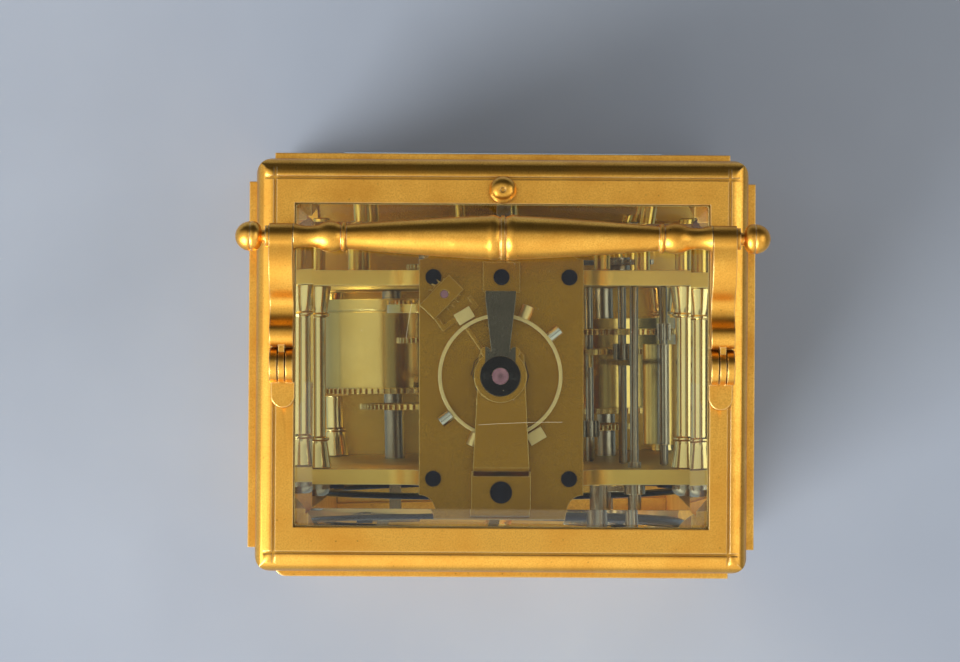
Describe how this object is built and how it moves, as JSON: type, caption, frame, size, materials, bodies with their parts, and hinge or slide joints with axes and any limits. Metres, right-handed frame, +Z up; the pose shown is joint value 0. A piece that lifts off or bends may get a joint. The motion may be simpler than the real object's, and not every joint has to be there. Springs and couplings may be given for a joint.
{
  "type": "carriage clock",
  "caption": "Glazed brass carriage clock with a folding handle, repeat button, hinged rear door and a platform escapement under the top glass.",
  "frame": {"origin": "middle of the base's underside", "axes": "+Z up, the dial faces -Y, the door is at +Y"},
  "size_m": [0.098, 0.084, 0.1513],
  "materials": {
    "gilt_brass": "satin fire gilding",
    "movement_brass": "grained and gilt",
    "wheel_brass": "polished",
    "mask_brass": "matt gilding",
    "blued_steel": "heat blued, polished",
    "polished_steel": "polished",
    "bevelled_glass": "polished",
    "enamel": "gloss",
    "ruby": "polished"
  },
  "bodies": {
    "case": {"base_moulding": "gilt_brass", "base_plate": "gilt_brass", "base_screws": "polished_steel", "case_pillars": "gilt_brass", "cornice_frame": "gilt_brass", "top_frame": "gilt_brass", "top_glass": "bevelled_glass", "front_glass": "bevelled_glass", "side_glasses": "bevelled_glass", "handle_posts": "gilt_brass", "front_plate": "movement_brass", "back_plate": "movement_brass", "movement_pillars": "movement_brass", "pillar_nuts": "movement_brass", "back_plate_screws": "blued_steel", "front_posts": "movement_brass", "dial_mask": "mask_brass", "dial": "enamel", "gong": "blued_steel", "gong_block": "movement_brass", "platform_plate": "movement_brass", "platform_screws": "blued_steel", "platform_cocks": "movement_brass", "endstone_cap": "blued_steel", "jewels": "ruby"},
    "handle": {"handle_arms": "gilt_brass", "handle_grip": "gilt_brass", "handle_finials": "gilt_brass"},
    "door": {"door_frame": "gilt_brass", "door_glass": "bevelled_glass", "door_knob": "gilt_brass"},
    "button": {"repeat_button": "gilt_brass"},
    "repeat_arm": {"repeat_lever": "polished_steel"},
    "minute": {"cannon_pinion": "polished_steel", "minute_hand": "blued_steel"},
    "minute_gear": {"minute_wheel": "wheel_brass"},
    "hour": {"hour_wheel": "wheel_brass", "hour_hand": "blued_steel"},
    "strike_rack": {"rack": "polished_steel"},
    "barrel_going": {"going_barrel": "wheel_brass"},
    "arbor_going": {"going_winding_arbor": "polished_steel"},
    "click_going": {"going_click": "polished_steel"},
    "second": {"second_wheel": "wheel_brass"},
    "centre": {"centre_wheel": "wheel_brass"},
    "third": {"third_wheel": "wheel_brass"},
    "contrate": {"contrate_wheel": "wheel_brass"},
    "escape": {"escape_wheel": "polished_steel"},
    "pallets": {"pallet_lever": "polished_steel"},
    "balance": {"balance_wheel": "wheel_brass", "balance_screws": "wheel_brass", "hairspring": "blued_steel"},
    "index": {"regulator": "polished_steel"},
    "barrel_strike": {"strike_barrel": "wheel_brass"},
    "arbor_strike": {"strike_winding_arbor": "polished_steel"},
    "click_strike": {"strike_click": "polished_steel"},
    "strike_second": {"strike_second_wheel": "wheel_brass"},
    "pins": {"pin_wheel": "wheel_brass"},
    "gathering": {"gathering_wheel": "wheel_brass"},
    "fly_body": {"fly": "wheel_brass"},
    "hammer_body": {"hammer": "polished_steel"}
  },
  "joints": [
    {"name": "handle_swing", "type": "hinge", "parent": "case", "child": "handle", "pos_m": [0, 0, 0.1432], "axis": [-1, 0, 0], "range_deg": [0, 159]},
    {"name": "door_swing", "type": "hinge", "parent": "case", "child": "door", "pos_m": [0.03855, 0.0357, 0.07], "axis": [0, 0, -1], "range_deg": [0, 120]},
    {"name": "button_press", "type": "slide", "parent": "case", "child": "button", "axis": [0, 0, -1], "range_m": [0, 0.0024], "stiffness_N_per_m": 200, "springref_m": -0.001},
    {"name": "repeat_lever_turn", "type": "hinge", "parent": "case", "child": "repeat_arm", "pos_m": [0.013, -0.0195, 0.1105], "axis": [0, -1, 0], "range_deg": [0, 10.6]},
    {"name": "minute_hand_turn", "type": "hinge", "parent": "case", "child": "minute", "pos_m": [0, -0.026, 0.07], "axis": [0, 1, 0], "continuous": true},
    {"name": "minute_wheel_turn", "type": "hinge", "parent": "case", "child": "minute_gear", "pos_m": [0.0092, -0.019, 0.0635], "axis": [0, 1, 0], "continuous": true},
    {"name": "hour_hand_turn", "type": "hinge", "parent": "case", "child": "hour", "pos_m": [0, -0.024, 0.07], "axis": [0, 1, 0], "continuous": true},
    {"name": "rack_turn", "type": "hinge", "parent": "case", "child": "strike_rack", "pos_m": [-0.024, -0.0195, 0.057], "axis": [0, 1, 0], "range_deg": [0, 6], "stiffness_Nm_per_rad": 0.0005, "springref_deg": -17.19},
    {"name": "going_barrel_turn", "type": "hinge", "parent": "case", "child": "barrel_going", "pos_m": [0.0215, -0.003, 0.042], "axis": [0, 1, 0], "continuous": true},
    {"name": "going_winding", "type": "hinge", "parent": "case", "child": "arbor_going", "pos_m": [0.0215, 0.01, 0.042], "axis": [0, 1, 0], "continuous": true},
    {"name": "going_click_turn", "type": "hinge", "parent": "case", "child": "click_going", "pos_m": [0.02513, 0.023, 0.05196], "axis": [0, -1, 0], "range_deg": [0, 8], "stiffness_Nm_per_rad": 0.0005, "springref_deg": -17.19},
    {"name": "second_turn", "type": "hinge", "parent": "case", "child": "second", "pos_m": [0.0125, 0.008, 0.0585], "axis": [0, 1, 0], "continuous": true},
    {"name": "centre_turn", "type": "hinge", "parent": "case", "child": "centre", "pos_m": [0, 0.002, 0.07], "axis": [0, 1, 0], "continuous": true},
    {"name": "third_turn", "type": "hinge", "parent": "case", "child": "third", "pos_m": [0.0065, -0.004, 0.0854], "axis": [0, 1, 0], "continuous": true},
    {"name": "contrate_turn", "type": "hinge", "parent": "case", "child": "contrate", "pos_m": [0.0104, -0.009, 0.0995], "axis": [0, 1, 0], "continuous": true},
    {"name": "escape_turn", "type": "hinge", "parent": "case", "child": "escape", "pos_m": [0.0104, -0.0129, 0.118], "axis": [0, 0, 1], "continuous": true},
    {"name": "lever_rock", "type": "hinge", "parent": "case", "child": "pallets", "pos_m": [0.0076, -0.0087, 0.1224], "axis": [0, 0, 1], "range_deg": [-4, 4]},
    {"name": "balance_swing", "type": "hinge", "parent": "case", "child": "balance", "pos_m": [0.0002, 0.0019, 0.1245], "axis": [0, 0, 1], "range_deg": [-220, 220], "stiffness_Nm_per_rad": 0.0000002},
    {"name": "regulator_turn", "type": "hinge", "parent": "case", "child": "index", "pos_m": [0.0002, 0.0019, 0.1279], "axis": [0, 0, 1], "range_deg": [-12, 12]},
    {"name": "strike_barrel_turn", "type": "hinge", "parent": "case", "child": "barrel_strike", "pos_m": [-0.0215, 0.001, 0.042], "axis": [0, 1, 0], "continuous": true},
    {"name": "strike_winding", "type": "hinge", "parent": "case", "child": "arbor_strike", "pos_m": [-0.0215, 0.01, 0.042], "axis": [0, 1, 0], "continuous": true},
    {"name": "strike_click_turn", "type": "hinge", "parent": "case", "child": "click_strike", "pos_m": [-0.02513, 0.023, 0.05196], "axis": [0, -1, 0], "range_deg": [0, 8], "stiffness_Nm_per_rad": 0.0005, "springref_deg": -17.19},
    {"name": "strike_second_turn", "type": "hinge", "parent": "case", "child": "strike_second", "pos_m": [-0.0125, 0.012, 0.0585], "axis": [0, 1, 0], "continuous": true},
    {"name": "pin_wheel_turn", "type": "hinge", "parent": "case", "child": "pins", "pos_m": [-0.0175, -0.002, 0.0724], "axis": [0, 1, 0], "continuous": true},
    {"name": "gathering_turn", "type": "hinge", "parent": "case", "child": "gathering", "pos_m": [-0.0235, -0.006, 0.0846], "axis": [0, 1, 0], "continuous": true},
    {"name": "fly_turn", "type": "hinge", "parent": "case", "child": "fly_body", "pos_m": [-0.031, 0.005, 0.093], "axis": [0, 1, 0], "continuous": true},
    {"name": "hammer_lift", "type": "hinge", "parent": "case", "child": "hammer_body", "pos_m": [-0.025, 0.01, 0.103], "axis": [0, -1, 0], "range_deg": [0, 16], "stiffness_Nm_per_rad": 0.002, "springref_deg": -11.46}
  ],
  "couplings": [
    {"joint": "repeat_lever_turn", "follows": "button_press", "rad_per_m": 76.9},
    {"joint": "third_turn", "follows": "centre_turn", "ratio": -8},
    {"joint": "contrate_turn", "follows": "centre_turn", "ratio": 60},
    {"joint": "escape_turn", "follows": "centre_turn", "ratio": -480},
    {"joint": "second_turn", "follows": "centre_turn", "ratio": -0.13889},
    {"joint": "going_barrel_turn", "follows": "centre_turn", "ratio": 0.019841},
    {"joint": "minute_hand_turn", "follows": "centre_turn", "ratio": 1},
    {"joint": "minute_wheel_turn", "follows": "centre_turn", "ratio": -0.33333},
    {"joint": "hour_hand_turn", "follows": "centre_turn", "ratio": 0.083333},
    {"joint": "gathering_turn", "follows": "pin_wheel_turn", "ratio": -7.5},
    {"joint": "fly_turn", "follows": "pin_wheel_turn", "ratio": 60},
    {"joint": "strike_second_turn", "follows": "pin_wheel_turn", "ratio": -0.13889},
    {"joint": "strike_barrel_turn", "follows": "pin_wheel_turn", "ratio": 0.019841}
  ]
}
